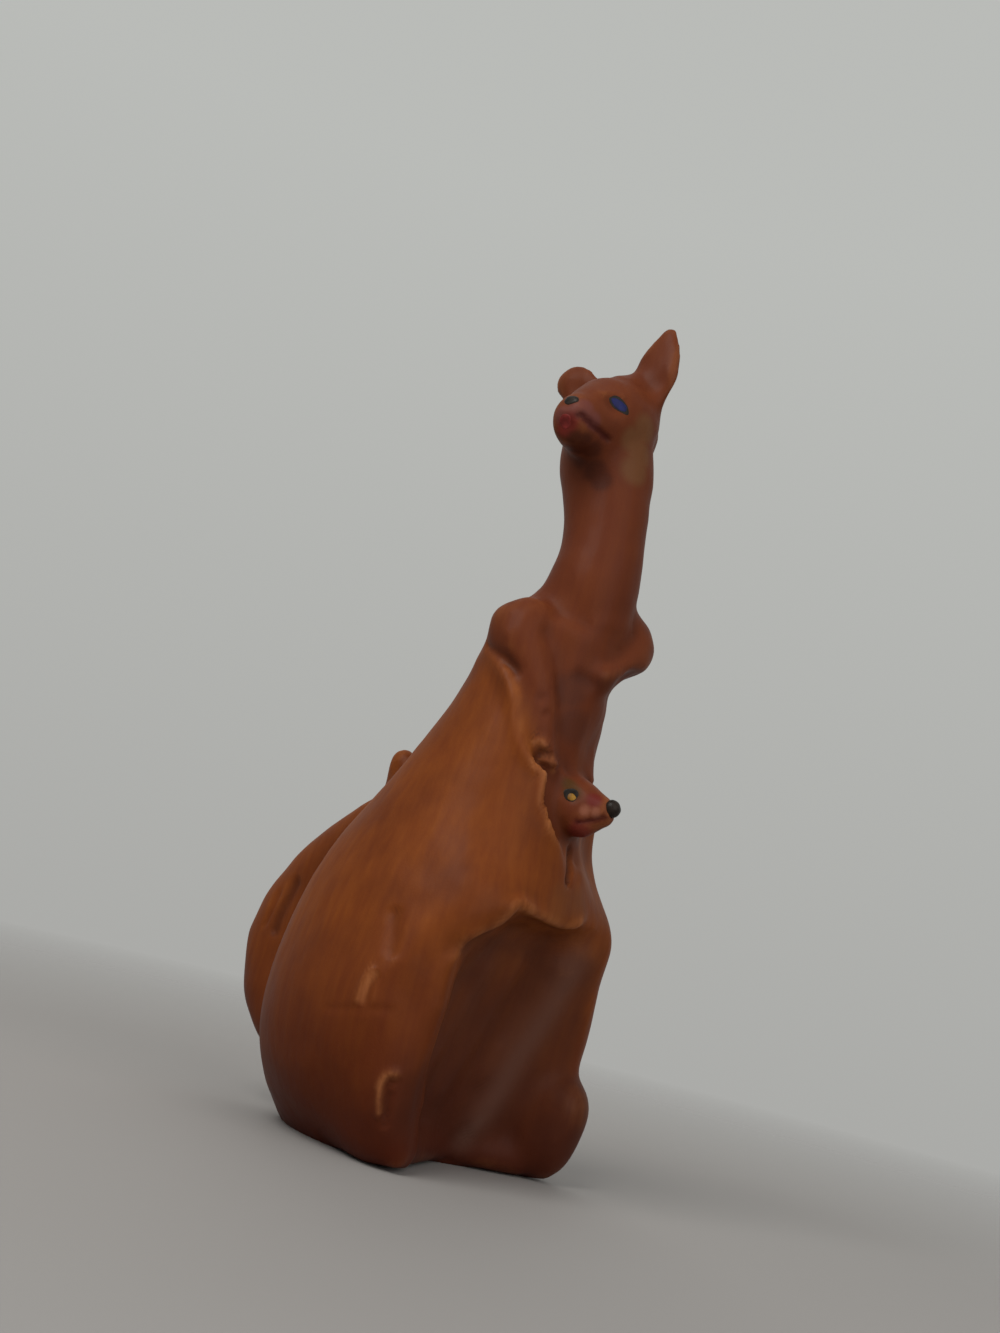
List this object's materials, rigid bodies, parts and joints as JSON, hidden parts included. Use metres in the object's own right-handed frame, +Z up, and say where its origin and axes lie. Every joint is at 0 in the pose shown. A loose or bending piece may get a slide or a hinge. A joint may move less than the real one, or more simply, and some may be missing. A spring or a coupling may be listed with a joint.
{
  "type": "kangaroo figurine",
  "caption": "Upright mother kangaroo ornament with a joey's head in its pouch, head turned aside, arms at the chest, tail laid up the back, standing on a flat base.",
  "frame": {"origin": "on the flat base, under the axis of the trunk", "axes": "+Z up along the figure, -Y the way the body faces, +X to the animal's left"},
  "size_m": [0.0528, 0.0691, 0.1446],
  "materials": {
    "terracotta": "satin coat over red-brown clay",
    "black_enamel": "brushed gloss",
    "blue_enamel": "brushed gloss",
    "red_enamel": "brushed gloss",
    "gold_enamel": "brushed gloss"
  },
  "bodies": {
    "root": {"body": "terracotta", "haunch_left": "terracotta", "haunch_right": "terracotta", "foot_left": "terracotta", "foot_right": "terracotta", "pouch": "terracotta", "tail": "terracotta", "chest": "terracotta", "neck": "terracotta", "arm_left": "terracotta", "arm_right": "terracotta", "head": "terracotta", "ear_left": "terracotta", "ear_right": "terracotta", "joey": "terracotta", "joey_ear_left": "terracotta", "joey_ear_right": "terracotta", "eye_rim_left": "black_enamel", "eye_rim_right": "black_enamel", "eye_left": "blue_enamel", "eye_right": "blue_enamel", "nose": "black_enamel", "lips": "red_enamel", "joey_eye_rim_left": "black_enamel", "joey_eye_rim_right": "black_enamel", "joey_eye_left": "gold_enamel", "joey_eye_right": "gold_enamel", "joey_nose": "black_enamel"}
  },
  "joints": []
}
